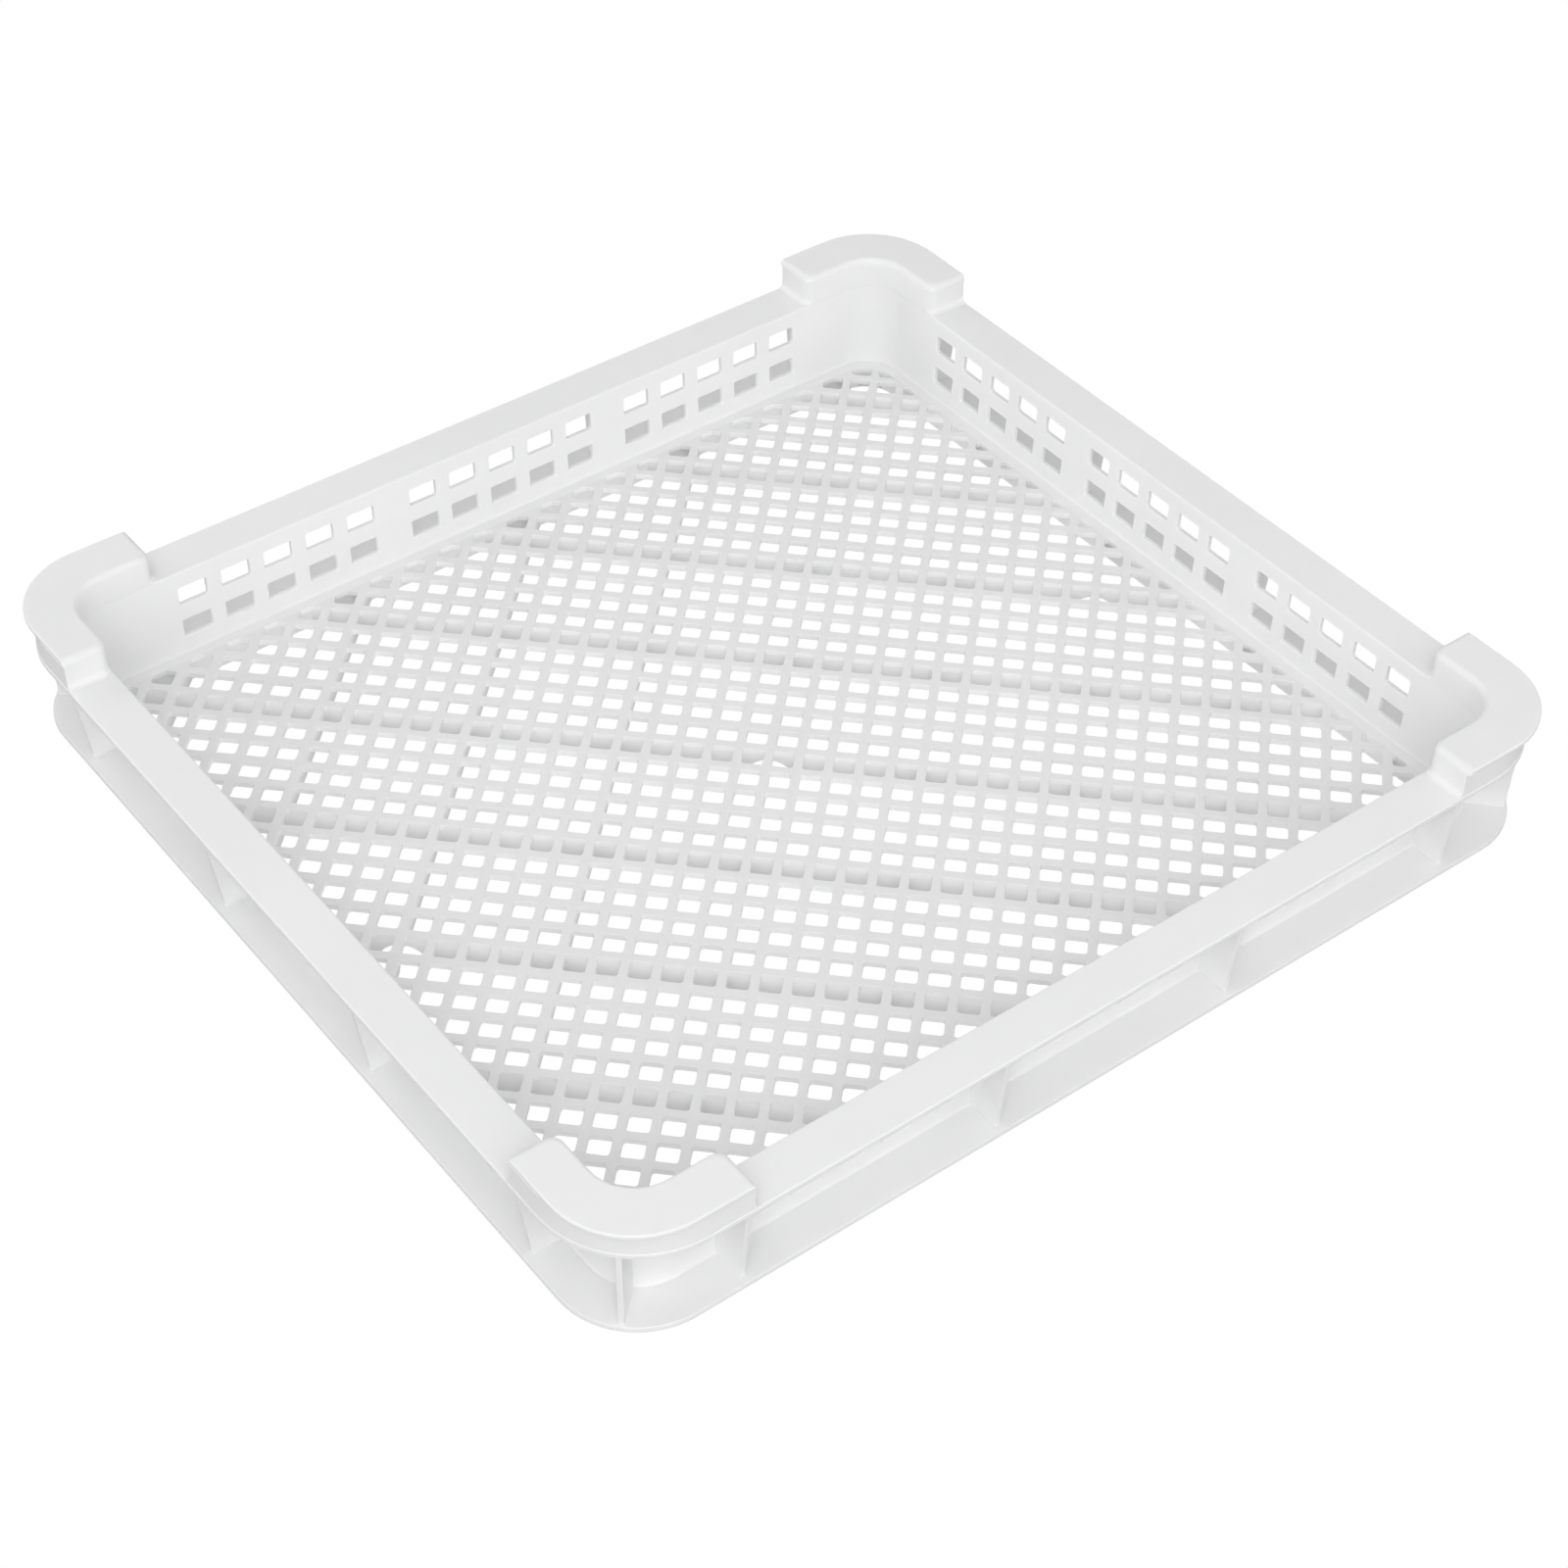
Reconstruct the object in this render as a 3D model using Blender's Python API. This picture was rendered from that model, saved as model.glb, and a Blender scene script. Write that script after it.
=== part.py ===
"""Ventilated stacking tray with a diagonal mesh floor.

A shallow rectangular tray in natural translucent polypropylene.  One moulding
on the real object; each moulded section is kept here as its own closed solid:
floor plate with its outer ledge, diagonal ribs under the floor, windowed side
walls, curved corner walls, flat rim rails, raised corner caps and the
gusset plates between rim and ledge.  The diagonal ribs that cross under the
floor are kept as straight bars that pass through each other in half-laps, and
the plinth frame round them as four sides.

Frame: metres, +Z up, origin at the bottom centre of the bounding box.
X is the long side of the tray, Y the short side.
"""
import math

import bmesh
import bpy

MM = 0.001

# ---------------------------------------------------------------- dimensions
GAP = 0.3                     # clearance kept between neighbouring solids

# heights above the surface that the tray stands on
FLOOR_TOP = 11.0              # upper face of the mesh floor
FLOOR_T = 2.4                 # floor and ledge thickness
RIM_TOP = 45.5                # upper face of the rim rails
RIM_T = 2.2                   # rim flange thickness
CAP_TOP = 57.8                # upper face of the corner caps

# plan half sizes and corner radii
RIM_X, RIM_Y, RIM_R = 198.5, 186.6, 36.0
LEDGE_X, LEDGE_Y, LEDGE_R = 195.9, 184.8, 29.8
LID_X, LID_Y, LID_R = 198.6, 187.8, 30.5          # top plate of a cap, proud of its side wall

# inner faces of the side walls, drafted outwards towards the top
IN_X0, IN_Y0 = 179.5, 167.8   # at the floor
IN_X1, IN_Y1 = 181.2, 169.5   # at the rim
IN_R = 15.7                   # inner corner radius
WALL_T = 2.2

# windows: three groups of five columns, two rows, on every side
GROUP_LONG, PITCH_LONG, WIN_LONG = 97.4, 17.6, 11.6
GROUP_SHORT, PITCH_SHORT, WIN_SHORT = 91.5, 16.5, 10.9
WIN_H = 7.2
WIN_ROWS = (21.1, 35.3)       # heights of the row centres
COLUMNS = 5

# diagonal mesh
MESH_PITCH = 10.8             # hole pitch along both diagonals
MESH_LAND = 3.25              # land between holes
RIB_EVERY = 5                 # a deep rib under every fifth land
RIB_T = 1.9
MARGIN = 4.6                  # solid strip beside the walls
FRAME_X, FRAME_Y, FRAME_R = 178.4, 166.7, 14.6    # plinth frame under the floor
FRAME_T = 2.2

# corner caps and gussets
CAP_END_X, CAP_END_Y = 146.1, 135.8
CAP_SKIN = 2.4
LID_T = 2.0                   # edge height of the cap's top plate
CAP_WALL = (RIM_X - 0.3, RIM_Y - 0.3, RIM_R - 0.3)  # outside of the cap under its top plate
GUSSET_T = 2.2
GUSSET_LONG = (48.7, 147.5)   # +/- X of the plates on the long sides
GUSSET_SHORT = (45.8, 137.2)  # +/- Y of the plates on the short sides

S45 = math.sqrt(0.5)


# ---------------------------------------------------------------- scene helpers
def clear_scene():
    for ob in list(bpy.data.objects):
        bpy.data.objects.remove(ob, do_unlink=True)


def plastic(name, tone=0.86, rough=0.42):
    mat = bpy.data.materials.new(name)
    mat.use_nodes = True
    bsdf = mat.node_tree.nodes["Principled BSDF"]
    bsdf.inputs["Base Color"].default_value = (tone, tone, tone * 1.005, 1.0)
    bsdf.inputs["Roughness"].default_value = rough
    bsdf.inputs["Metallic"].default_value = 0.0
    mat.diffuse_color = (tone, tone, tone, 1.0)
    return mat


def finish(bm, name, cutter=False, tone=0.86):
    """Turn a bmesh in millimetres into a scene object in metres."""
    for v in bm.verts:
        v.co *= MM
    bmesh.ops.recalc_face_normals(bm, faces=bm.faces)
    mesh = bpy.data.meshes.new(name)
    bm.to_mesh(mesh)
    bm.free()
    ob = bpy.data.objects.new(name, mesh)
    bpy.context.scene.collection.objects.link(ob)
    if cutter:
        ob.hide_render = True
        ob.display_type = "WIRE"
    else:
        mesh.materials.append(plastic(name + "_plastic", tone))
        mesh.shade_smooth()
        mesh.set_sharp_from_angle(angle=math.radians(30))
    return ob


def loft_into(bm, rings):
    """Closed body through rings with equal point counts, capped at both ends."""
    rows = [[bm.verts.new(p) for p in ring] for ring in rings]
    n = len(rows[0])
    for a, b in zip(rows, rows[1:]):
        for i in range(n):
            j = (i + 1) % n
            bm.faces.new((a[i], a[j], b[j], b[i]))
    bm.faces.new(list(reversed(rows[0])))
    bm.faces.new(rows[-1])


def prism_into(bm, outline, z0, z1):
    loft_into(bm, [[(x, y, z0) for x, y in outline], [(x, y, z1) for x, y in outline]])


def cut(ob, cutter):
    mod = ob.modifiers.new("cut", "BOOLEAN")
    mod.operation = "DIFFERENCE"
    mod.solver = "EXACT"
    mod.object = cutter


# ---------------------------------------------------------------- plan shapes
def arc(cx, cy, r, a0, a1, seg):
    return [(cx + r * math.cos(math.radians(a0 + (a1 - a0) * k / seg)),
             cy + r * math.sin(math.radians(a0 + (a1 - a0) * k / seg))) for k in range(seg + 1)]


def rounded_rect(hx, hy, r, seg=6):
    pts = []
    for sx, sy, a0 in ((1, 1, 0), (-1, 1, 90), (-1, -1, 180), (1, -1, 270)):
        pts += arc(sx * (hx - r), sy * (hy - r), r, a0, a0 + 90, seg)
    return pts


def clip_convex(poly, window):
    """Part of a convex polygon that lies inside a convex counter-clockwise window."""
    out = list(poly)
    for k in range(len(window)):
        ax, ay = window[k]
        bx, by = window[(k + 1) % len(window)]
        ex, ey = bx - ax, by - ay
        if ex * ex + ey * ey < 1e-9:
            continue
        src, out = out, []
        for i in range(len(src)):
            p, q = src[i], src[(i + 1) % len(src)]
            dp = ex * (p[1] - ay) - ey * (p[0] - ax)
            dq = ex * (q[1] - ay) - ey * (q[0] - ax)
            if dp >= 0:
                out.append(p)
            if (dp >= 0) != (dq >= 0):
                t = dp / (dp - dq)
                out.append((p[0] + t * (q[0] - p[0]), p[1] + t * (q[1] - p[1])))
        if len(out) < 3:
            return []
    clean = []
    for p in out:
        if not clean or math.dist(p, clean[-1]) > 0.05:
            clean.append(p)
    if len(clean) > 2 and math.dist(clean[0], clean[-1]) <= 0.05:
        clean.pop()
    return clean if len(clean) > 2 else []


def area(poly):
    return 0.5 * abs(sum(poly[i][0] * poly[(i + 1) % len(poly)][1]
                         - poly[(i + 1) % len(poly)][0] * poly[i][1] for i in range(len(poly))))


def diagonal_box(u0, u1, v0, v1):
    """Rectangle given along the two diagonal directions, as plan points."""
    return [((u - v) * S45, (u + v) * S45) for u, v in ((u0, v0), (u1, v0), (u1, v1), (u0, v1))]


# ---------------------------------------------------------------- floor
def floor_openings():
    """Runs of five mesh holes between neighbouring ribs, clipped beside the walls."""
    window = rounded_rect(IN_X0 - MARGIN, IN_Y0 - MARGIN, IN_R, 3)
    half = MESH_LAND / 2
    reach = int((IN_X0 + IN_Y0) * S45 / MESH_PITCH) + 1
    cells = reach // RIB_EVERY + 1
    shapes = []
    for row in range(-reach, reach):
        v0, v1 = row * MESH_PITCH + half, (row + 1) * MESH_PITCH - half
        for cell in range(-cells, cells):
            u0 = cell * RIB_EVERY * MESH_PITCH + half
            u1 = (cell + 1) * RIB_EVERY * MESH_PITCH - half
            poly = clip_convex(diagonal_box(u0, u1, v0, v1), window)
            if poly and area(poly) > 40.0:
                shapes.append(poly)
    return shapes


def swap(points, other_way):
    """Mirror plan points across the other diagonal direction when asked to."""
    return [(-x, y) for x, y in reversed(points)] if other_way else points


def build_ribs(top):
    """Straight ribs along both diagonals, half-lapped where they cross."""
    window = rounded_rect(FRAME_X - FRAME_T - GAP, FRAME_Y - FRAME_T - GAP, FRAME_R - FRAME_T - GAP, 4)
    step, half = RIB_EVERY * MESH_PITCH, RIB_T / 2
    n = int((FRAME_X + FRAME_Y) * S45 / step)
    lap = (top / 2 - GAP / 2, top / 2 + GAP / 2)
    for family, other_way in (("a", False), ("b", True)):
        for k in range(-n, n + 1):
            bar = clip_convex(diagonal_box(k * step - half, k * step + half, -400, 400), window)
            if not bar or area(bar) < 40.0:
                continue
            along = [(y - x) * S45 for x, y in bar]
            bm = bmesh.new()
            prism_into(bm, swap(bar, other_way), 0.0, top)
            rib = finish(bm, "floor_rib_%s%d" % (family, k + n + 1), tone=0.80)
            laps = bmesh.new()
            count = 0
            for j in range(-n, n + 1):
                if min(along) - half < j * step < max(along) + half:
                    notch = diagonal_box(k * step - half - 2, k * step + half + 2,
                                         j * step - half - GAP, j * step + half + GAP)
                    z0, z1 = (lap[0], top + 2) if family == "a" else (-2, lap[1])
                    prism_into(laps, swap(notch, other_way), z0, z1)
                    count += 1
            if count:
                cut(rib, finish(laps, "laps_%s%d" % (family, k + n + 1), cutter=True))
            else:
                laps.free()


def build_plinth(top):
    """Upright frame round the ribs: two straight sides, two sides with the rounded corners."""
    r, t = FRAME_R, FRAME_T
    for name, sign in (("left", -1), ("right", 1)):
        y = FRAME_Y - r - GAP / 2
        bm = bmesh.new()
        prism_into(bm, [(sign * FRAME_X, -y), (sign * FRAME_X, y),
                        (sign * (FRAME_X - t), y), (sign * (FRAME_X - t), -y)], 0.0, top)
        finish(bm, "plinth_" + name, tone=0.80)
    for name, sign in (("front", -1), ("back", 1)):
        cx, cy = FRAME_X - r, FRAME_Y - r + GAP / 2
        outer = arc(cx, cy, r, 0, 90, 5) + arc(-cx, cy, r, 90, 180, 5)
        inner = arc(-cx, cy, r - t, 180, 90, 5) + arc(cx, cy, r - t, 90, 0, 5)
        ring = [(x, min(y, FRAME_Y)) for x, y in outer] + [(x, min(y, FRAME_Y - t)) for x, y in inner]
        bm = bmesh.new()
        prism_into(bm, [(x, sign * y) for x, y in ring], 0.0, top)
        finish(bm, "plinth_" + name, tone=0.80)


def cutter_from(shapes, name, z0, z1):
    bm = bmesh.new()
    for poly in shapes:
        prism_into(bm, poly, z0, z1)
    return finish(bm, name, cutter=True)


def build_floor():
    bm = bmesh.new()
    prism_into(bm, rounded_rect(LEDGE_X, LEDGE_Y, LEDGE_R, 7), FLOOR_TOP - FLOOR_T, FLOOR_TOP)
    plate = finish(bm, "floor_mesh_plate")
    cut(plate, cutter_from(floor_openings(), "mesh_openings", FLOOR_TOP - FLOOR_T - 2, FLOOR_TOP + 2))

    top = FLOOR_TOP - FLOOR_T - GAP
    build_ribs(top)
    build_plinth(top)


# ---------------------------------------------------------------- walls
def inner_at(z):
    t = (z - FLOOR_TOP) / (RIM_TOP - FLOOR_TOP)
    return IN_X0 + t * (IN_X1 - IN_X0), IN_Y0 + t * (IN_Y1 - IN_Y0)


def window_cutter(name, along_x, sign):
    group, pitch, width = ((GROUP_LONG, PITCH_LONG, WIN_LONG) if along_x
                           else (GROUP_SHORT, PITCH_SHORT, WIN_SHORT))
    bm = bmesh.new()
    for g in (-1, 0, 1):
        for c in range(COLUMNS):
            s = g * group + (c - (COLUMNS - 1) / 2) * pitch
            for z in WIN_ROWS:
                a, b = s - width / 2, s + width / 2
                if along_x:
                    y0, y1 = sorted((sign * (IN_Y0 - 6), sign * (IN_Y1 + WALL_T + 6)))
                    outline = [(a, y0), (b, y0), (b, y1), (a, y1)]
                else:
                    x0, x1 = sorted((sign * (IN_X0 - 6), sign * (IN_X1 + WALL_T + 6)))
                    outline = [(x0, a), (x1, a), (x1, b), (x0, b)]
                prism_into(bm, outline, z - WIN_H / 2, z + WIN_H / 2)
    return finish(bm, name, cutter=True)


def build_walls():
    z0, z1 = FLOOR_TOP + GAP, RIM_TOP - RIM_T - GAP
    for name, along_x, sign in (("front", True, -1), ("back", True, 1),
                                ("left", False, -1), ("right", False, 1)):
        rings = []
        for z in (z0, z1):
            ix, iy = inner_at(z)
            run = (ix if along_x else iy) - IN_R - GAP / 2
            face = iy if along_x else ix
            ring = [(-run, face), (run, face), (run, face + WALL_T), (-run, face + WALL_T)]
            rings.append([(a, sign * b, z) if along_x else (sign * b, a, z) for a, b in ring])
        bm = bmesh.new()
        loft_into(bm, rings)
        wall = finish(bm, "wall_" + name)
        cut(wall, window_cutter("windows_" + name, along_x, sign))

    for name, sx, sy in CORNERS:
        rings = []
        for z in (z0, z1):
            ix, iy = inner_at(z)
            cx, cy = ix - IN_R, iy - IN_R
            inner = arc(cx, cy, IN_R, 0, 90, 6)
            outer = arc(cx, cy, IN_R + WALL_T, 90, 0, 6)
            off = GAP / 2
            ring = [(x + off if k in (len(inner) - 1, len(inner)) else x,
                     y + off if k in (0, len(inner) + len(outer) - 1) else y)
                    for k, (x, y) in enumerate(inner + outer)]
            rings.append([(sx * x, sy * y, z) for x, y in ring])
        bm = bmesh.new()
        loft_into(bm, rings)
        finish(bm, "corner_wall_" + name)


CORNERS = (("front_left", -1, -1), ("front_right", 1, -1), ("back_left", -1, 1), ("back_right", 1, 1))


# ---------------------------------------------------------------- rim rails
def build_rails():
    z0, z1 = RIM_TOP - RIM_T, RIM_TOP
    e = 0.7                                     # eased outer edge
    for name, along_x, sign in (("front", True, -1), ("back", True, 1),
                                ("left", False, -1), ("right", False, 1)):
        run = (CAP_END_X if along_x else CAP_END_Y) - GAP
        inner = IN_Y1 if along_x else IN_X1
        outer = RIM_Y if along_x else RIM_X
        section = [(inner, z0), (outer - e * 0.5, z0), (outer, z0 + e), (outer, z1 - e),
                   (outer - e, z1), (inner + e * 0.5, z1), (inner, z1 - e * 0.5)]
        rings = [[(s, sign * o, z) if along_x else (sign * o, s, z) for o, z in section]
                 for s in (-run, run)]
        bm = bmesh.new()
        loft_into(bm, rings)
        finish(bm, "rim_rail_" + name)


# ---------------------------------------------------------------- corner caps
def corner_outline(hx, hy, r, ix, iy, ir, ex, ey, seg=8):
    """L-shaped plan of one corner, in the +X +Y quadrant."""
    outer = arc(hx - r, hy - r, r, 0, 90, seg)
    inner = arc(ix - ir, iy - ir, ir, 90, 0, seg)
    return [(hx, ey)] + outer + [(ex, hy), (ex, iy)] + inner + [(ix, ey)]


def build_caps():
    """Hollow raised corner: foot level with the rim, upright wall, top plate that
    stands out over the wall where its own corner radius is smaller."""
    for name, sx, sy in CORNERS:
        bm = bmesh.new()
        foot = (RIM_X, RIM_Y, RIM_R)
        lid = (LID_X, LID_Y, LID_R)
        rings = []
        for z, plan, inset, inner in (
                (RIM_TOP - RIM_T, foot, 0.0, 0.0), (RIM_TOP - 0.5, foot, 0.0, 0.0),
                (RIM_TOP, CAP_WALL, 0.0, 0.0), (CAP_TOP - LID_T - 0.9, CAP_WALL, 0.0, 0.2),
                (CAP_TOP - LID_T, lid, 0.2, 0.2), (CAP_TOP - 0.5, lid, 0.0, 0.2), (CAP_TOP, lid, 0.5, 0.8)):
            hx, hy, r = (v - inset for v in plan)
            ring = corner_outline(hx, hy, r, IN_X1 + inner, IN_Y1 + inner, IN_R + inner,
                                  CAP_END_X + inner, CAP_END_Y + inner)
            rings.append([(sx * x, sy * y, z) for x, y in ring])
        loft_into(bm, rings)
        cap = finish(bm, "corner_cap_" + name)

        bm = bmesh.new()
        s = CAP_SKIN
        ring = corner_outline(CAP_WALL[0] - s, CAP_WALL[1] - s, CAP_WALL[2] - s,
                              IN_X1 + WALL_T, IN_Y1 + WALL_T, IN_R + WALL_T,
                              CAP_END_X + s, CAP_END_Y + s)
        prism_into(bm, [(sx * x, sy * y) for x, y in ring], RIM_TOP - RIM_T - 4, CAP_TOP - s)
        cut(cap, finish(bm, "cap_hollow_" + name, cutter=True))


# ---------------------------------------------------------------- gussets
def plate(name, origin, along, profile, across):
    """Flat plate: profile is (distance along, height), thickness is centred on origin."""
    bm = bmesh.new()
    rings = []
    for side in (-0.5, 0.5):
        rings.append([(origin[0] + along[0] * d + across[0] * side * GUSSET_T,
                       origin[1] + along[1] * d + across[1] * side * GUSSET_T, z) for d, z in profile])
    loft_into(bm, rings)
    finish(bm, name)


def build_gussets():
    z0, z1 = FLOOR_TOP + GAP, RIM_TOP - RIM_T - GAP
    ix0, iy0 = inner_at(z0)
    ix1, iy1 = inner_at(z1)
    clear = WALL_T + GAP
    long_profile = [(iy0 + clear, z0), (LEDGE_Y - 3.0, z0), (RIM_Y - 1.0, z1), (iy1 + clear, z1)]
    short_profile = [(ix0 + clear, z0), (LEDGE_X - 3.0, z0), (RIM_X - 1.0, z1), (ix1 + clear, z1)]
    for side, sign in (("front", -1), ("back", 1)):
        for k, x in enumerate((-GUSSET_LONG[1], -GUSSET_LONG[0], GUSSET_LONG[0], GUSSET_LONG[1])):
            plate("gusset_%s_%d" % (side, k + 1), (x, 0), (0, sign), long_profile, (1, 0))
    for side, sign in (("left", -1), ("right", 1)):
        for k, y in enumerate((-GUSSET_SHORT[1], -GUSSET_SHORT[0], GUSSET_SHORT[0], GUSSET_SHORT[1])):
            plate("gusset_%s_%d" % (side, k + 1), (0, y), (sign, 0), short_profile, (0, 1))

    r0 = IN_R + clear
    shift = (ix1 - ix0) / S45                   # the drafted corner moves out along the diagonal
    profile = [(r0, z0), (r0 + 14.0, z0), (r0 + 15.2, z1), (r0 + shift, z1)]
    for name, sx, sy in CORNERS:
        plate("corner_gusset_" + name, (sx * (ix0 - IN_R), sy * (iy0 - IN_R)),
              (sx * S45, sy * S45), profile, (-sy * S45, sx * S45))


clear_scene()
build_floor()
build_walls()
build_rails()
build_caps()
build_gussets()
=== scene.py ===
"""Looks of the ventilated stacking tray: one milky polypropylene moulding.

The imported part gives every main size.  The pieces built here put back what the
plain solids leave out: the separate square holes of the mesh with their rounded
corners, drafted ribs, windows with eased edges, fillets, and rounded rim and caps.
"""
import math

import bmesh
import bpy
from mathutils import Matrix, Vector
from mathutils.geometry import delaunay_2d_cdt


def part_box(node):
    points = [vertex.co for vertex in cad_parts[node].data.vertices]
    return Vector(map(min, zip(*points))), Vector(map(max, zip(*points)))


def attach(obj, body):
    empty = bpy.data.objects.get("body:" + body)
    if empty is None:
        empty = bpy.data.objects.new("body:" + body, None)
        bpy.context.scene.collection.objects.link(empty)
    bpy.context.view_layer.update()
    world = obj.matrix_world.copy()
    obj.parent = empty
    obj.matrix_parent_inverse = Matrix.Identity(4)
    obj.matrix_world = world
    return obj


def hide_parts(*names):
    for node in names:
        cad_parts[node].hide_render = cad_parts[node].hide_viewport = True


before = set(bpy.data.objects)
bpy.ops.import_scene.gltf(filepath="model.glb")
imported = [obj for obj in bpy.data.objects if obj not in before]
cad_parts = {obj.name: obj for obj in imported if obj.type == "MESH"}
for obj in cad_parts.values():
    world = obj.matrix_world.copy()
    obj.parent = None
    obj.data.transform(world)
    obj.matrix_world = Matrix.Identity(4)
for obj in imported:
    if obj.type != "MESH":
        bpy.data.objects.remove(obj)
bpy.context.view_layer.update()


NODES = sorted(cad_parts)


def box_mm(node):
    lo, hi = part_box(node)
    return [c * 1000.0 for c in lo], [c * 1000.0 for c in hi]


# ---------------------------------------------------------------- sizes, in millimetres
floor_lo, floor_hi = box_mm("floor_mesh_plate")
rail_b_lo, rail_b_hi = box_mm("rim_rail_back")
rail_r_lo, rail_r_hi = box_mm("rim_rail_right")
cap_lo, cap_hi = box_mm("corner_cap_back_right")
wall_b_lo, wall_b_hi = box_mm("wall_back")
wall_r_lo, wall_r_hi = box_mm("wall_right")
plinth_lo, plinth_hi = box_mm("plinth_back")
rib_lo, rib_hi = box_mm("floor_rib_a5")

FLOOR_TOP, FLOOR_BOT = floor_hi[2], floor_lo[2]
LEDGE_X, LEDGE_Y, LEDGE_R = floor_hi[0], floor_hi[1], 29.8
RIM_TOP, RIM_BOT = rail_b_hi[2], rail_b_lo[2]
RIM_X, RIM_Y, RIM_R = rail_r_hi[0], rail_b_hi[1], 36.0
IN_X0, IN_Y0 = wall_r_lo[0], wall_b_lo[1]            # inner faces at the floor
IN_X1, IN_Y1 = rail_r_lo[0], rail_b_lo[1]            # and at the rim
IN_R = 15.7
WALL_T = wall_b_hi[1] - IN_Y1
CAP_TOP = cap_hi[2]
LID_X, LID_Y, LID_R, LID_T = cap_hi[0], cap_hi[1], 30.5, 2.0
CAP_WALL = (RIM_X - 0.3, RIM_Y - 0.3, RIM_R - 0.3)
CAP_END_X, CAP_END_Y = cap_lo[0], cap_lo[1]
FRAME_X, FRAME_Y, FRAME_R, FRAME_T = plinth_hi[0], plinth_hi[1], 14.6, 2.2

PITCH, LAND, RIB_EVERY = 10.8, 3.25, 5
MARGIN = 4.6
RIB_TOP_T, RIB_TIP_T = 1.9, 1.2

GROUP = {True: 97.4, False: 91.5}
WIN_PITCH = {True: 17.6, False: 16.5}
WIN_W = {True: 11.6, False: 10.9}
WIN_H, WIN_ROWS, COLUMNS = 7.2, (21.1, 35.3), 5
S45 = math.sqrt(0.5)


# ---------------------------------------------------------------- plan helpers
def arc(cx, cy, r, a0, a1, seg):
    return [(cx + r * math.cos(math.radians(a0 + (a1 - a0) * k / seg)),
             cy + r * math.sin(math.radians(a0 + (a1 - a0) * k / seg))) for k in range(seg + 1)]


def rounded_rect(hx, hy, r, seg=14):
    pts = []
    for sx, sy, a0 in ((1, 1, 0), (-1, 1, 90), (-1, -1, 180), (1, -1, 270)):
        pts += arc(sx * (hx - r), sy * (hy - r), r, a0, a0 + 90, seg)
    return pts


def clip_convex(poly, window):
    out = list(poly)
    for k in range(len(window)):
        ax, ay = window[k]
        bx, by = window[(k + 1) % len(window)]
        ex, ey = bx - ax, by - ay
        if ex * ex + ey * ey < 1e-9:
            continue
        src, out = out, []
        for i in range(len(src)):
            p, q = src[i], src[(i + 1) % len(src)]
            dp = ex * (p[1] - ay) - ey * (p[0] - ax)
            dq = ex * (q[1] - ay) - ey * (q[0] - ax)
            if dp >= 0:
                out.append(p)
            if (dp >= 0) != (dq >= 0):
                t = dp / (dp - dq)
                out.append((p[0] + t * (q[0] - p[0]), p[1] + t * (q[1] - p[1])))
        if len(out) < 3:
            return []
    clean = []
    for p in out:
        if not clean or math.dist(p, clean[-1]) > 0.05:
            clean.append(p)
    if len(clean) > 2 and math.dist(clean[0], clean[-1]) <= 0.05:
        clean.pop()
    return clean if len(clean) > 2 else []


def area(poly):
    return 0.5 * sum(poly[i][0] * poly[(i + 1) % len(poly)][1]
                     - poly[(i + 1) % len(poly)][0] * poly[i][1] for i in range(len(poly)))


def unit(x, y):
    n = math.hypot(x, y) or 1.0
    return x / n, y / n


def round_corners(poly, r, seg=3, least=14.0):
    """Replace each real corner of a counter-clockwise outline by an arc."""
    out = []
    n = len(poly)
    for i in range(n):
        p0, p1, p2 = poly[i - 1], poly[i], poly[(i + 1) % n]
        d1, d2 = unit(p1[0] - p0[0], p1[1] - p0[1]), unit(p2[0] - p1[0], p2[1] - p1[1])
        cross, dot = d1[0] * d2[1] - d1[1] * d2[0], d1[0] * d2[0] + d1[1] * d2[1]
        turn = math.atan2(cross, dot)
        if abs(math.degrees(turn)) < least:
            out.append(p1)
            continue
        k = math.tan(abs(turn) / 2)
        t = min(r * k, 0.46 * math.dist(p0, p1), 0.46 * math.dist(p1, p2))
        rr = t / k
        side = 1.0 if turn > 0 else -1.0
        a = (p1[0] - d1[0] * t, p1[1] - d1[1] * t)
        cx, cy = a[0] - d1[1] * rr * side, a[1] + d1[0] * rr * side
        start = math.atan2(a[1] - cy, a[0] - cx)
        out += [(cx + rr * math.cos(start + turn * s / seg), cy + rr * math.sin(start + turn * s / seg))
                for s in range(seg + 1)]
    return out


def grow(poly, d):
    """Mitred offset of a counter-clockwise outline, outwards when d is positive."""
    out = []
    n = len(poly)
    for i in range(n):
        p0, p1, p2 = poly[i - 1], poly[i], poly[(i + 1) % n]
        a, b = unit(p1[0] - p0[0], p1[1] - p0[1]), unit(p2[0] - p1[0], p2[1] - p1[1])
        n1, n2 = (a[1], -a[0]), (b[1], -b[0])
        s = max(0.35, 1.0 + n1[0] * n2[0] + n1[1] * n2[1])
        out.append((p1[0] + d * (n1[0] + n2[0]) / s, p1[1] + d * (n1[1] + n2[1]) / s))
    return out


def diagonal_box(u0, u1, v0, v1):
    return [((u - v) * S45, (u + v) * S45) for u, v in ((u0, v0), (u1, v0), (u1, v1), (u0, v1))]


# ---------------------------------------------------------------- mesh helpers
def loop(bm, outline, z):
    return [bm.verts.new((x, y, z)) for x, y in outline]


def strip(bm, a, b):
    n = len(a)
    for i in range(n):
        j = (i + 1) % n
        bm.faces.new((a[i], a[j], b[j], b[i]))


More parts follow.
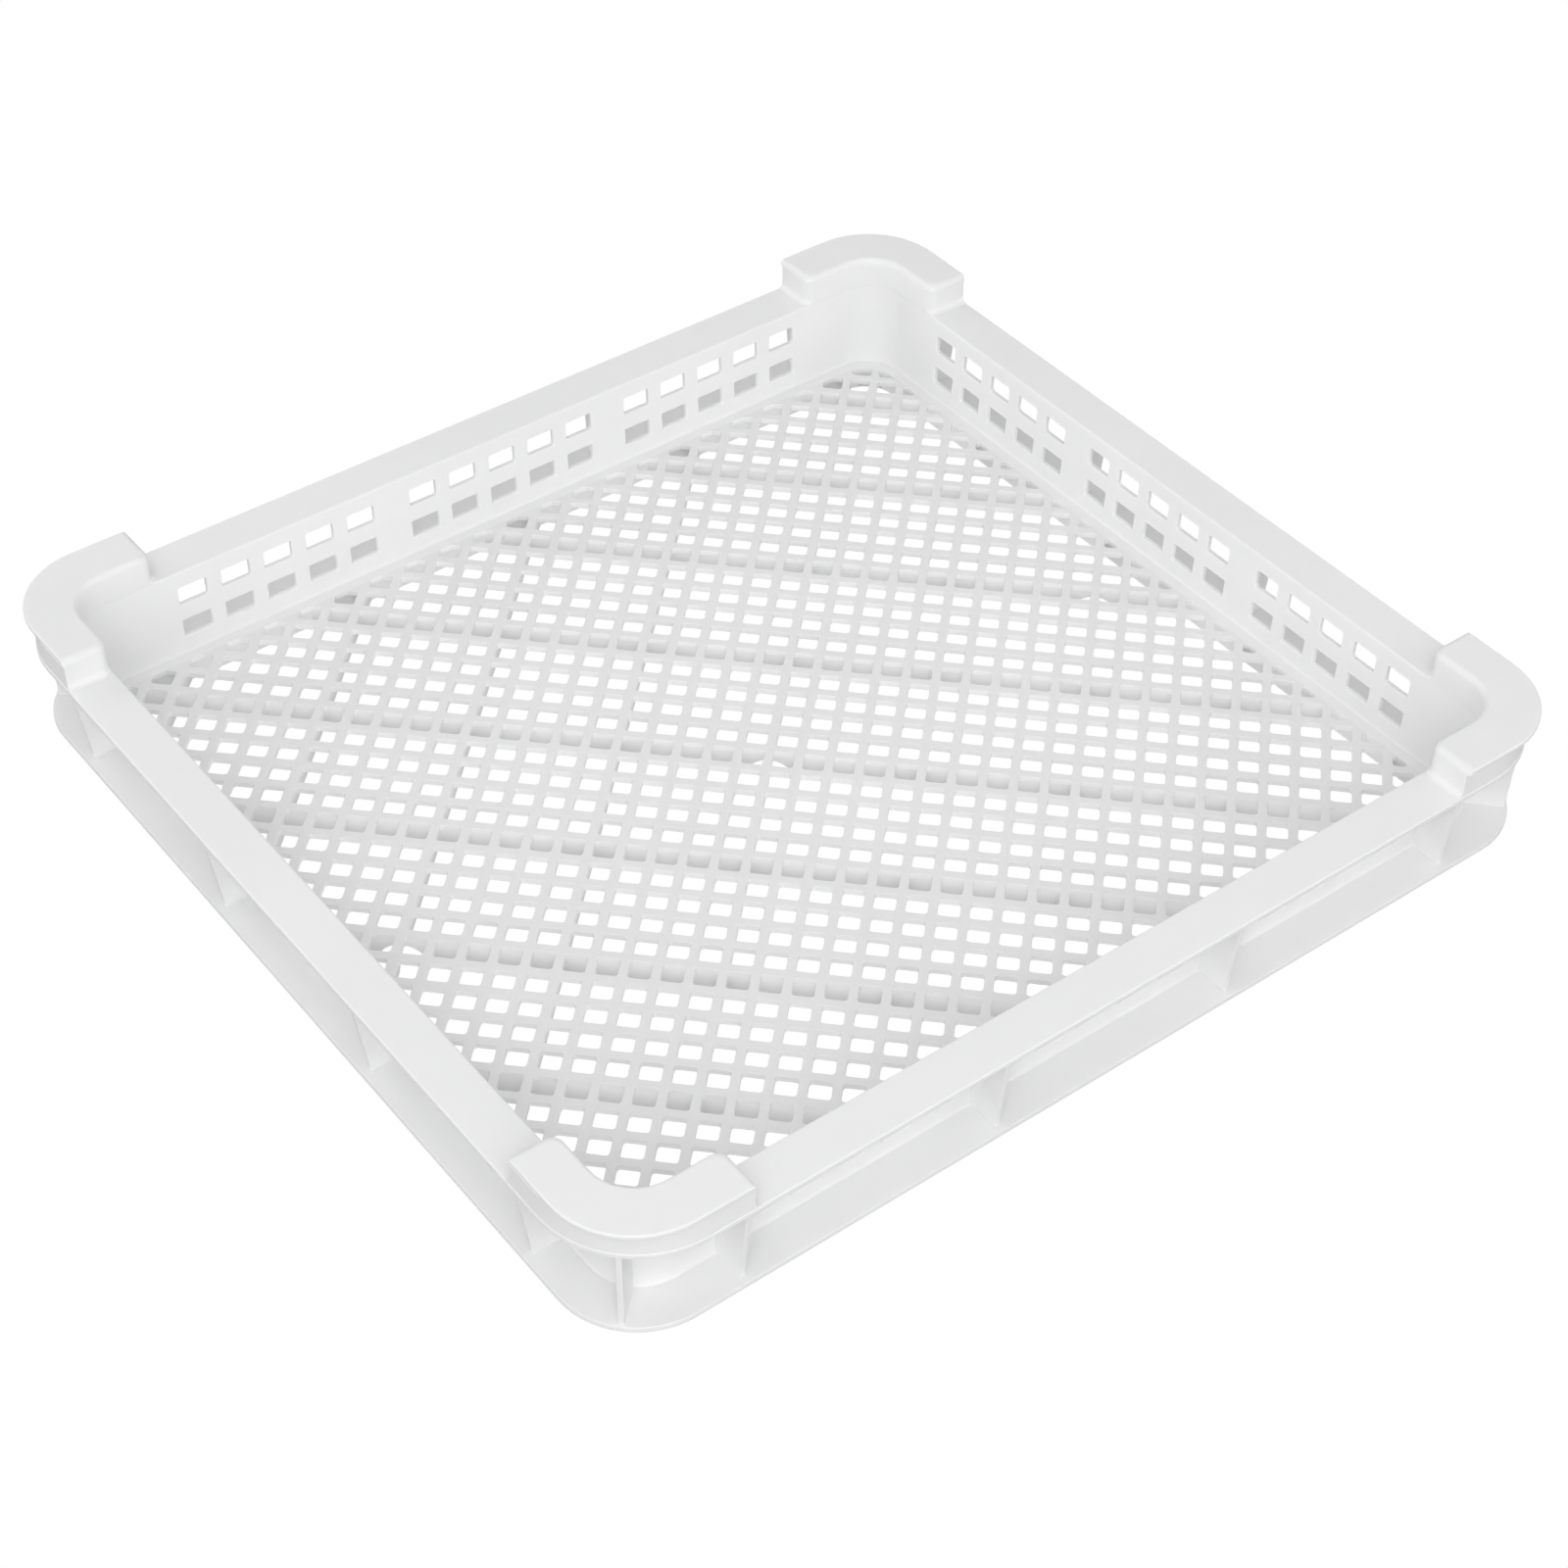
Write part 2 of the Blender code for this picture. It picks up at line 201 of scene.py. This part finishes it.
def fill(bm, outer, holes):
    """Flat face inside one loop and outside the hole loops, as triangles."""
    loops = [outer] + holes
    verts = [v for l in loops for v in l]
    faces, k = [], 0
    for l in loops:
        faces.append(list(range(k, k + len(l))))
        k += len(l)
    res = delaunay_2d_cdt([Vector((v.co.x, v.co.y)) for v in verts], [], faces, 1, 1e-6, True)
    source = [o[0] if o else None for o in res[3]]
    for tri, owners in zip(res[2], res[5]):
        if owners and all(o == 0 for o in owners):
            corner = [verts[source[i]] for i in tri]
            if len(set(corner)) == 3:
                bm.faces.new(corner)


def piece(bm, name, nodes=(), material=None, angle=32.0, weighted=True):
    """A visual piece in metres that rides on the tray's one body."""
    for v in bm.verts:
        v.co *= 0.001
    bmesh.ops.recalc_face_normals(bm, faces=bm.faces)
    mesh = bpy.data.meshes.new(name)
    bm.to_mesh(mesh)
    bm.free()
    ob = bpy.data.objects.new(name, mesh)
    bpy.context.scene.collection.objects.link(ob)
    if material is not None:
        dress(ob, material, nodes, angle, weighted)
    return ob


def dress(ob, material, nodes, angle=32.0, weighted=True):
    mesh = ob.data
    mesh.materials.clear()
    mesh.materials.append(material)
    mesh.shade_smooth()
    mesh.set_sharp_from_angle(angle=math.radians(angle))
    if weighted:
        mod = ob.modifiers.new("weighted normals", "WEIGHTED_NORMAL")
        mod.mode = "FACE_AREA"
        mod.weight = 60
        mod.keep_sharp = True
    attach(ob, "root")
    if nodes:
        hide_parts(*nodes)


def nodes_of(*starts):
    return [n for n in NODES if n.startswith(starts)]


def boolean(ob, other):
    """Cut another object away now, and drop it."""
    mod = ob.modifiers.new("bool", "BOOLEAN")
    mod.operation = "DIFFERENCE"
    mod.solver = "EXACT"
    mod.object = other
    bpy.context.view_layer.update()
    deps = bpy.context.evaluated_depsgraph_get()
    result = bpy.data.meshes.new_from_object(ob.evaluated_get(deps))
    ob.modifiers.clear()
    old = ob.data
    ob.data = result
    bpy.data.meshes.remove(old)
    bpy.data.objects.remove(other, do_unlink=True)


# ---------------------------------------------------------------- material
MESH_PAINTED_SHADE = -0.04                # painted shade: the open mesh floor is given a darker colour for the light it lets through


def polypropylene(name, tone=0.0, foot=None):
    mat = bpy.data.materials.new(name)
    mat.use_nodes = True
    nt = mat.node_tree
    bsdf = nt.nodes["Principled BSDF"]
    coord = nt.nodes.new("ShaderNodeTexCoord")

    def noise(scale, detail, rough=0.5):
        n = nt.nodes.new("ShaderNodeTexNoise")
        n.inputs["Scale"].default_value = scale
        n.inputs["Detail"].default_value = detail
        n.inputs["Roughness"].default_value = rough
        nt.links.new(coord.outputs["Object"], n.inputs["Vector"])
        return n

    cloud = noise(14.0, 3.0)
    ramp = nt.nodes.new("ShaderNodeValToRGB")
    ramp.color_ramp.elements[0].position = 0.30
    ramp.color_ramp.elements[0].color = (0.848 + tone, 0.850 + tone, 0.850 + tone, 1.0)
    ramp.color_ramp.elements[1].position = 0.72
    ramp.color_ramp.elements[1].color = (0.872 + tone, 0.874 + tone, 0.872 + tone, 1.0)
    nt.links.new(cloud.outputs["Fac"], ramp.inputs["Fac"])
    if foot is None:
        nt.links.new(ramp.outputs["Color"], bsdf.inputs["Base Color"])
    else:                                          # painted shade: the ribs darken towards their feet, where less light reaches
        place = nt.nodes.new("ShaderNodeSeparateXYZ")
        nt.links.new(coord.outputs["Object"], place.inputs[0])
        painted_foot_shade = nt.nodes.new("ShaderNodeMapRange")
        painted_foot_shade.inputs["From Min"].default_value = 0.0018
        painted_foot_shade.inputs["From Max"].default_value = 0.0072
        painted_foot_shade.inputs["To Min"].default_value = foot
        painted_foot_shade.inputs["To Max"].default_value = 1.0
        nt.links.new(place.outputs["Z"], painted_foot_shade.inputs["Value"])
        shade = nt.nodes.new("ShaderNodeVectorMath")
        shade.operation = "SCALE"
        nt.links.new(ramp.outputs["Color"], shade.inputs[0])
        nt.links.new(painted_foot_shade.outputs["Result"], shade.inputs["Scale"])
        nt.links.new(shade.outputs[0], bsdf.inputs["Base Color"])

    patch = noise(55.0, 4.0, 0.6)
    rough = nt.nodes.new("ShaderNodeMapRange")
    rough.inputs["From Min"].default_value = 0.3
    rough.inputs["From Max"].default_value = 0.7
    rough.inputs["To Min"].default_value = 0.36
    rough.inputs["To Max"].default_value = 0.47
    nt.links.new(patch.outputs["Fac"], rough.inputs["Value"])
    nt.links.new(rough.outputs["Result"], bsdf.inputs["Roughness"])

    wave = noise(38.0, 2.0)
    grain = noise(2600.0, 2.0)
    b1 = nt.nodes.new("ShaderNodeBump")
    b1.inputs["Strength"].default_value = 0.12
    b1.inputs["Distance"].default_value = 0.0012
    b2 = nt.nodes.new("ShaderNodeBump")
    b2.inputs["Strength"].default_value = 0.10
    b2.inputs["Distance"].default_value = 0.00008
    nt.links.new(wave.outputs["Fac"], b1.inputs["Height"])
    nt.links.new(grain.outputs["Fac"], b2.inputs["Height"])
    nt.links.new(b1.outputs["Normal"], b2.inputs["Normal"])
    nt.links.new(b2.outputs["Normal"], bsdf.inputs["Normal"])

    bsdf.subsurface_method = "BURLEY"
    bsdf.inputs["Metallic"].default_value = 0.0
    bsdf.inputs["IOR"].default_value = 1.49
    bsdf.inputs["Subsurface Weight"].default_value = 0.15
    bsdf.inputs["Subsurface Radius"].default_value = (1.0, 1.0, 1.0)
    bsdf.inputs["Subsurface Scale"].default_value = 0.0025
    return mat


PLASTIC = polypropylene("milky_polypropylene")
# painted shade: a darker copy of the plastic for the mesh floor and ribs, whose ribs also darken towards their
# feet
PAINTED_SHADE_PLASTIC = polypropylene("milky_polypropylene_painted_shade", MESH_PAINTED_SHADE, 0.76)


# ---------------------------------------------------------------- floor, ribs and plinth
def build_floor():
    """Mesh floor, ledge, ribs and plinth as one closed skin."""
    bm = bmesh.new()
    t, b = FLOOR_TOP, FLOOR_BOT
    window = rounded_rect(IN_X0 - MARGIN, IN_Y0 - MARGIN, IN_R - 2.0, 8)
    half = LAND / 2
    step, rib = RIB_EVERY * PITCH, RIB_TOP_T / 2
    draft = (RIB_TOP_T - RIB_TIP_T) / 2
    reach = int((IN_X0 + IN_Y0) * S45 / PITCH) + 1

    # spaces between the ribs, inside the plinth
    frame_window = rounded_rect(FRAME_X - FRAME_T, FRAME_Y - FRAME_T, FRAME_R - FRAME_T, 8)
    cells, feet = {}, []
    n = reach // RIB_EVERY + 1
    for i in range(-n, n):
        for j in range(-n, n):
            poly = clip_convex(diagonal_box(i * step + rib, (i + 1) * step - rib,
                                            j * step + rib, (j + 1) * step - rib), frame_window)
            if not poly or area(poly) < 14.0:
                continue
            poly = round_corners(poly, 0.8, 3)
            rings = [loop(bm, grow(poly, d), z) for d, z in
                     ((-0.45, b), (-0.13, b - 0.14), (0.0, b - 0.45), (draft, 0.5),
                      (draft + 0.08, 0.14), (draft + 0.3, 0.0))]
            for p, q in zip(rings, rings[1:]):
                strip(bm, p, q)
            cells[i, j] = [rings[0]]
            feet.append(rings[-1])

    # square holes, each with eased edges above and below
    tops = []
    for i in range(-reach, reach):
        for j in range(-reach, reach):
            home = (i // RIB_EVERY, j // RIB_EVERY)
            if home not in cells:
                continue
            poly = clip_convex(diagonal_box(i * PITCH + half, (i + 1) * PITCH - half,
                                            j * PITCH + half, (j + 1) * PITCH - half), window)
            if not poly or area(poly) < 5.0:
                continue
            poly = round_corners(poly, 1.1, 3)
            rings = [loop(bm, grow(poly, d), z) for d, z in
                     ((0.32, t), (0.10, t - 0.10), (0.0, t - 0.32), (0.04, b + 0.14), (0.18, b))]
            for p, q in zip(rings, rings[1:]):
                strip(bm, p, q)
            tops.append(rings[0])
            cells[home].append(rings[-1])
    for loops in cells.values():
        fill(bm, loops[0], loops[1:])

    # ledge and its edge
    edge = [(0.5, t), (0.15, t - 0.15), (0.0, t - 0.5), (0.0, b + 0.5), (0.15, b + 0.15), (0.5, b)]
    rings = [loop(bm, rounded_rect(LEDGE_X - d, LEDGE_Y - d, LEDGE_R - d), z) for d, z in edge]
    fill(bm, rings[0], tops)
    for p, q in zip(rings, rings[1:]):
        strip(bm, p, q)

    # outside of the plinth, and the plane that the tray stands on
    plinth = [loop(bm, rounded_rect(FRAME_X - d, FRAME_Y - d, FRAME_R - d), z)
              for d, z in ((-0.6, b), (-0.18, b - 0.18), (0.0, b - 0.6), (0.25, 0.5), (0.40, 0.14), (0.75, 0.0))]
    strip(bm, rings[-1], plinth[0])
    for p, q in zip(plinth, plinth[1:]):
        strip(bm, p, q)
    fill(bm, plinth[-1], feet)
    floor_body = piece(bm, "mesh_floor_and_ribs")

    # clearance pockets under the three injection points
    bm = bmesh.new()
    for x in (-152.7, 0.0, 152.7):
        bmesh.ops.create_uvsphere(bm, u_segments=32, v_segments=16, radius=8.6,
                                  matrix=Matrix.Translation((x, 0.0, -2.8)))
    boolean(floor_body, piece(bm, "gate_clearance"))
    dress(floor_body, PLASTIC, nodes_of("floor_mesh_plate", "floor_rib_", "plinth_"))
    # painted shade: the faces of the mesh floor and ribs take the darker, shaded copy of the plastic
    floor_body.data.materials.append(PAINTED_SHADE_PLASTIC)
    for face in floor_body.data.polygons:
        x, y, z = (1000.0 * c for c in face.center)
        if abs(x) < IN_X0 - MARGIN and abs(y) < IN_Y0 - MARGIN and z < FLOOR_TOP + 0.01:
            face.material_index = 1


# ---------------------------------------------------------------- walls and rim
def inner_at(z):
    t = (z - FLOOR_TOP) / (RIM_TOP - FLOOR_TOP)
    return IN_X0 + t * (IN_X1 - IN_X0), IN_Y0 + t * (IN_Y1 - IN_Y0)


def window_tool():
    bm = bmesh.new()
    for along_x, sign in ((True, -1), (True, 1), (False, -1), (False, 1)):
        for g in (-1, 0, 1):
            for c in range(COLUMNS):
                s = g * GROUP[along_x] + (c - (COLUMNS - 1) / 2) * WIN_PITCH[along_x]
                w = WIN_W[along_x]
                for zc in WIN_ROWS:
                    base = round_corners([(s - w / 2, zc - WIN_H / 2), (s + w / 2, zc - WIN_H / 2),
                                          (s + w / 2, zc + WIN_H / 2), (s - w / 2, zc + WIN_H / 2)], 0.35 if zc == min(WIN_ROWS) else 0.9, 3)
                    rings = []
                    for depth, flare in ((-1.2, 1.5), (0.3, 0.0), (WALL_T - 0.3, 0.0), (WALL_T + 1.2, 1.5)):
                        ring = []
                        for a, z in grow(base, flare):
                            ix, iy = inner_at(z)
                            ring.append(bm.verts.new((a, sign * (iy + depth), z) if along_x
                                                     else (sign * (ix + depth), a, z)))
                        rings.append(ring)
                    for p, q in zip(rings, rings[1:]):
                        strip(bm, p, q)
                    bm.faces.new(rings[0])
                    bm.faces.new(rings[-1])
    return piece(bm, "window_tool")


def corner_outline(hx, hy, r, ix, iy, ir, ex, ey, seg=14, q=0.0):
    """L-shaped plan of a cap; q rounds its two inner ends."""
    outer = arc(hx - r, hy - r, r, 0, 90, seg)
    inner = arc(ix - ir, iy - ir, ir, 90, 0, seg)
    ends = [(ex, iy)], [(ix, ey)]
    if q > 0.0:
        ends = [arc(x + q, y + q, q, 180, 270, 8) for x, y in ((ex, iy), (ix, ey))]
    return [(hx, ey)] + outer + [(ex, hy)] + ends[0] + inner + ends[1]


CORNERS = (("front_left", -1, -1), ("front_right", 1, -1), ("back_left", -1, 1), ("back_right", 1, 1))
CAP_SKIN = 2.4


def cap_hollow(grown=0.0):
    """Tool for the space inside the caps, open downwards."""
    bm = bmesh.new()
    s = CAP_SKIN - grown
    for name, sx, sy in CORNERS:
        rings = []
        for z, d in ((RIM_BOT - 1.5, 0.0), (CAP_TOP - s - 1.0, 0.3), (CAP_TOP - s, 1.3)):
            hx, hy, r = (v - s - d for v in CAP_WALL)
            ring = corner_outline(hx, hy, r, IN_X1 + WALL_T + 0.1 + d, IN_Y1 + WALL_T + 0.1 + d,
                                  IN_R + WALL_T + d, CAP_END_X + s + d, CAP_END_Y + s + d)
            rings.append([bm.verts.new((sx * x, sy * y, z)) for x, y in ring])
        for p, q in zip(rings, rings[1:]):
            strip(bm, p, q)
        bm.faces.new(rings[0])
        bm.faces.new(rings[-1])
    return piece(bm, "cap_hollow")


def build_walls():
    """Walls and rim as one closed, pierced ring, with a fillet down to the floor."""
    bm = bmesh.new()
    rings = []

    def inner_ring(z, offset):
        ix, iy = inner_at(min(z, RIM_TOP))
        rings.append(loop(bm, rounded_rect(ix + offset, iy + offset, IN_R + offset), z))

    f = 0.9                                        # fillet to the floor
    for k in range(5):
        a = math.radians(90 * k / 4)
        inner_ring(FLOOR_TOP + f - f * math.cos(a), -f + f * math.sin(a))
    e = 0.8                                        # eased inner edge of the rim
    for k in range(5):
        a = math.radians(90 * k / 4)
        inner_ring(RIM_TOP - e + e * math.sin(a), e - e * math.cos(a))

    def outer_ring(z, d):
        rings.append(loop(bm, rounded_rect(RIM_X - d, RIM_Y - d, RIM_R - d), z))

    r = 0.6                                        # rounded outer edge of the rim
    for k in range(6):
        a = math.radians(90 * k / 5)
        outer_ring(RIM_TOP - r + r * math.cos(a), r - r * math.sin(a))
    outer_ring(RIM_BOT + 0.4, 0.0)
    outer_ring(RIM_BOT + 0.12, 0.12)
    outer_ring(RIM_BOT, 0.4)
    g = 0.9
    for k in range(5):                             # fillet under the rim
        a = math.radians(90 * k / 4)
        inner_ring(RIM_BOT - g + g * math.cos(a), WALL_T + g - g * math.sin(a))
    for k in range(5):                             # fillet to the ledge
        a = math.radians(90 * (4 - k) / 4)
        inner_ring(FLOOR_TOP + f - f * math.cos(a), WALL_T + f - f * math.sin(a))
    seat = FLOOR_TOP - 0.6                         # the foot, let into the floor
    inner_ring(seat, WALL_T + f)
    inner_ring(seat, -f)
    for p, q in zip(rings, rings[1:] + rings[:1]):
        strip(bm, p, q)
    ring = piece(bm, "walls_and_rim")
    boolean(ring, window_tool())
    boolean(ring, cap_hollow())
    dress(ring, PLASTIC, nodes_of("wall_", "corner_wall_", "rim_rail_"))


# ---------------------------------------------------------------- corner caps
def build_caps():
    """Upright wall with a fillet at its foot, and a top plate that stands out over it."""
    lid = (LID_X, LID_Y, LID_R)
    for name, sx, sy in CORNERS:
        bm = bmesh.new()
        f, e, g = 2.4, 0.7, 2.6                    # foot fillet, outer edge, inner and end edges
        levels = [(RIM_TOP - 1.1, CAP_WALL, 0.0, 0.0)]
        for k in range(6):
            a = math.radians(90 * k / 5)
            levels.append((RIM_TOP + f * (1 - math.cos(a)), CAP_WALL, 0.0, -f * (1 - math.sin(a))))
        levels += [(CAP_TOP - LID_T - 0.8, CAP_WALL, 0.0, 0.0), (CAP_TOP - LID_T - 0.3, CAP_WALL, -0.3, 0.0),
                   (CAP_TOP - LID_T, lid, 0.45, 0.0), (CAP_TOP - LID_T + 0.2, lid, 0.12, 0.0),
                   (CAP_TOP - LID_T + 0.6, lid, 0.0, 0.0)]
        for h in (1.0, 0.7, 0.48, 0.32, 0.2, 0.1, 0.03, 0.0):
            up = max(0.0, e - h)
            levels.append((CAP_TOP - h, lid, e - math.sqrt(e * e - up * up), 0.0))
        rings = []
        for z, plan, inset, end in levels:
            up = max(0.0, z - (CAP_TOP - g))
            soft = g - math.sqrt(g * g - min(up, g) ** 2)
            inner, end = 0.1 + soft * 0.75, end + 0.1 + soft
            hx, hy, r = (v - inset for v in plan)
            ring = corner_outline(hx, hy, r, IN_X1 + inner, IN_Y1 + inner, IN_R + inner,
                                  CAP_END_X + end, CAP_END_Y + end, q=4.0)
            rings.append([bm.verts.new((sx * x, sy * y, z)) for x, y in ring])
        for p, q in zip(rings, rings[1:]):
            strip(bm, p, q)
        bm.faces.new(rings[0])
        bm.faces.new(rings[-1])
        cap = piece(bm, "cap_" + name)
        boolean(cap, cap_hollow())
        dress(cap, PLASTIC, ["corner_cap_" + name])


# ---------------------------------------------------------------- gussets
def plate(node, origin, along, across, outline, t=2.2):
    bm = bmesh.new()
    rings = []
    for side, inset in ((-t / 2, 0.5), (-t / 2 + 0.15, 0.15), (-t / 2 + 0.5, 0.0),
                        (t / 2 - 0.5, 0.0), (t / 2 - 0.15, 0.15), (t / 2, 0.5)):
        ring = []
        for d, z in grow(outline, -inset):
            ring.append(bm.verts.new((origin[0] + along[0] * d + across[0] * side,
                                      origin[1] + along[1] * d + across[1] * side, z)))
        rings.append(ring)
    for p, q in zip(rings, rings[1:]):
        strip(bm, p, q)
    bm.faces.new(rings[0])
    bm.faces.new(rings[-1])
    piece(bm, "plate_" + node, [node], PLASTIC)


def build_gussets():
    z0, z1 = FLOOR_TOP - 0.7, RIM_BOT + 0.7
    ix0, iy0 = inner_at(z0)
    ix1, iy1 = inner_at(z1)
    inset = WALL_T - 0.7
    for node in NODES:
        if not node.startswith("gusset_"):
            continue
        lo, hi = box_mm(node)
        side = node.split("_")[1]
        if side in ("front", "back"):
            sign = -1 if side == "front" else 1
            centre, along, across = ((lo[0] + hi[0]) / 2, 0.0), (0, sign), (1, 0)
            foot, tip, w0, w1 = LEDGE_Y - 3.0, RIM_Y - 1.0, iy0 + inset, iy1 + inset
        else:
            sign = -1 if side == "left" else 1
            centre, along, across = (0.0, (lo[1] + hi[1]) / 2), (sign, 0), (0, 1)
            foot, tip, w0, w1 = LEDGE_X - 3.0, RIM_X - 1.0, ix0 + inset, ix1 + inset
        outline = [(w0, z0), (foot, z0), (tip, z1), (w1, z1)]
        plate(node, centre, along, across, outline)
    r0 = IN_R + inset
    shift = (ix1 - ix0) / S45
    outline = [(r0, z0), (IN_R + WALL_T + 14.6, z0), (IN_R + WALL_T + 15.6, z1), (r0 + shift, z1)]
    for name, sx, sy in CORNERS:
        plate("corner_gusset_" + name, (sx * (ix0 - IN_R), sy * (iy0 - IN_R)),
              (sx * S45, sy * S45), (-sy * S45, sx * S45), outline)


build_floor()
build_walls()
build_caps()
build_gussets()


# ---------------------------------------------------------------- stage, light, camera
def stage_material():
    """White sweep: bright where it is seen; to all other rays a dim lit table."""
    mat = bpy.data.materials.new("white_sweep")
    mat.use_nodes = True
    nt = mat.node_tree
    nt.nodes.clear()
    out = nt.nodes.new("ShaderNodeOutputMaterial")
    seen = nt.nodes.new("ShaderNodeEmission")
    seen.inputs["Color"].default_value = (1.0, 1.0, 1.0, 1.0)
    seen.inputs["Strength"].default_value = 1.0
    body = nt.nodes.new("ShaderNodeBsdfDiffuse")
    body.inputs["Color"].default_value = (0.30, 0.30, 0.30, 1.0)
    path = nt.nodes.new("ShaderNodeLightPath")
    mix = nt.nodes.new("ShaderNodeMixShader")
    nt.links.new(path.outputs["Is Camera Ray"], mix.inputs["Fac"])
    glow = nt.nodes.new("ShaderNodeEmission")
    place = nt.nodes.new("ShaderNodeTexCoord")
    split = nt.nodes.new("ShaderNodeSeparateXYZ")
    nt.links.new(place.outputs["Object"], split.inputs[0])
    level = None
    for axis, edge in (("X", 0.179), ("Y", 0.167)):      # brighter in the middle, under the mesh
        size = nt.nodes.new("ShaderNodeMath")
        size.operation = "ABSOLUTE"
        nt.links.new(split.outputs[axis], size.inputs[0])
        part = nt.nodes.new("ShaderNodeMapRange")
        part.inputs["From Min"].default_value = edge - 0.006
        part.inputs["From Max"].default_value = edge + 0.006
        part.inputs["To Min"].default_value = 1.0
        part.inputs["To Max"].default_value = 0.0
        nt.links.new(size.outputs[0], part.inputs["Value"])
        if level is None:
            level = part.outputs["Result"]
        else:
            both = nt.nodes.new("ShaderNodeMath")
            both.operation = "MULTIPLY"
            nt.links.new(level, both.inputs[0])
            nt.links.new(part.outputs["Result"], both.inputs[1])
            level = both.outputs[0]
    lift = nt.nodes.new("ShaderNodeMapRange")
    lift.inputs["To Min"].default_value = 0.18
    lift.inputs["To Max"].default_value = 0.66
    nt.links.new(level, lift.inputs["Value"])
    nt.links.new(lift.outputs["Result"], glow.inputs["Strength"])
    both = nt.nodes.new("ShaderNodeAddShader")
    nt.links.new(body.outputs[0], both.inputs[0])
    nt.links.new(glow.outputs[0], both.inputs[1])
    nt.links.new(both.outputs[0], mix.inputs[1])
    nt.links.new(seen.outputs[0], mix.inputs[2])
    nt.links.new(mix.outputs[0], out.inputs["Surface"])
    return mat


bm = bmesh.new()
bmesh.ops.create_grid(bm, x_segments=8, y_segments=8, size=6.0)
mesh = bpy.data.meshes.new("studio_floor")
bm.to_mesh(mesh)
bm.free()
floor = bpy.data.objects.new("studio_floor", mesh)
floor.location = (0.0, 0.0, -0.0002)
bpy.context.scene.collection.objects.link(floor)
mesh.materials.append(stage_material())

world = bpy.data.worlds.new("studio")
bpy.context.scene.world = world
world.use_nodes = True
world.node_tree.nodes["Background"].inputs["Color"].default_value = (1.0, 1.0, 1.0, 1.0)
world.node_tree.nodes["Background"].inputs["Strength"].default_value = 0.63
backdrop = world.node_tree.nodes.new("ShaderNodeBackground")
backdrop.inputs["Color"].default_value = (1.0, 1.0, 1.0, 1.0)
backdrop.inputs["Strength"].default_value = 1.0
seen = world.node_tree.nodes.new("ShaderNodeLightPath")
mix = world.node_tree.nodes.new("ShaderNodeMixShader")
world.node_tree.links.new(seen.outputs["Is Camera Ray"], mix.inputs["Fac"])
world.node_tree.links.new(world.node_tree.nodes["Background"].outputs[0], mix.inputs[1])
world.node_tree.links.new(backdrop.outputs[0], mix.inputs[2])
world.node_tree.links.new(mix.outputs[0], world.node_tree.nodes["World Output"].inputs["Surface"])


def softbox(name, place, aim, size, power):
    data = bpy.data.lights.new(name, "AREA")
    data.shape = "RECTANGLE"
    data.size, data.size_y = size
    data.energy = power
    ob = bpy.data.objects.new(name, data)
    ob.location = place
    ob.rotation_euler = (Vector(aim) - Vector(place)).to_track_quat("-Z", "Y").to_euler()
    bpy.context.scene.collection.objects.link(ob)
    return ob


softbox("low_front_softbox", (-1.0, -1.3, 0.45), (0, 0, 0.03), (1.4, 0.6), 5.3)
softbox("high_front_softbox", (-0.9, -1.2, 1.5), (0, 0, 0.03), (1.2, 1.2), 11.6)
softbox("right_softbox", (1.1, -1.4, 0.7), (0, 0, 0.03), (1.0, 0.8), 3.3)
softbox("left_softbox", (-1.0, 1.4, 0.8), (0, 0, 0.03), (1.0, 0.8), 5.0)

camera = bpy.data.cameras.new("camera")
camera.sensor_width = 36.0
camera.sensor_fit = "HORIZONTAL"
camera.lens = 71.73
camera.clip_start, camera.clip_end = 0.05, 30.0
cam = bpy.data.objects.new("camera", camera)
cam.location = (-0.4963, -0.6481, 0.7498)
cam.rotation_euler = tuple(math.radians(a) for a in (47.188, -0.631, -37.212))
bpy.context.scene.collection.objects.link(cam)
bpy.context.scene.camera = cam
bpy.context.scene.view_settings.view_transform = "Standard"
bpy.context.scene.view_settings.look = "None"
bpy.context.scene.cycles.max_bounces = 6
bpy.context.scene.cycles.diffuse_bounces = 6
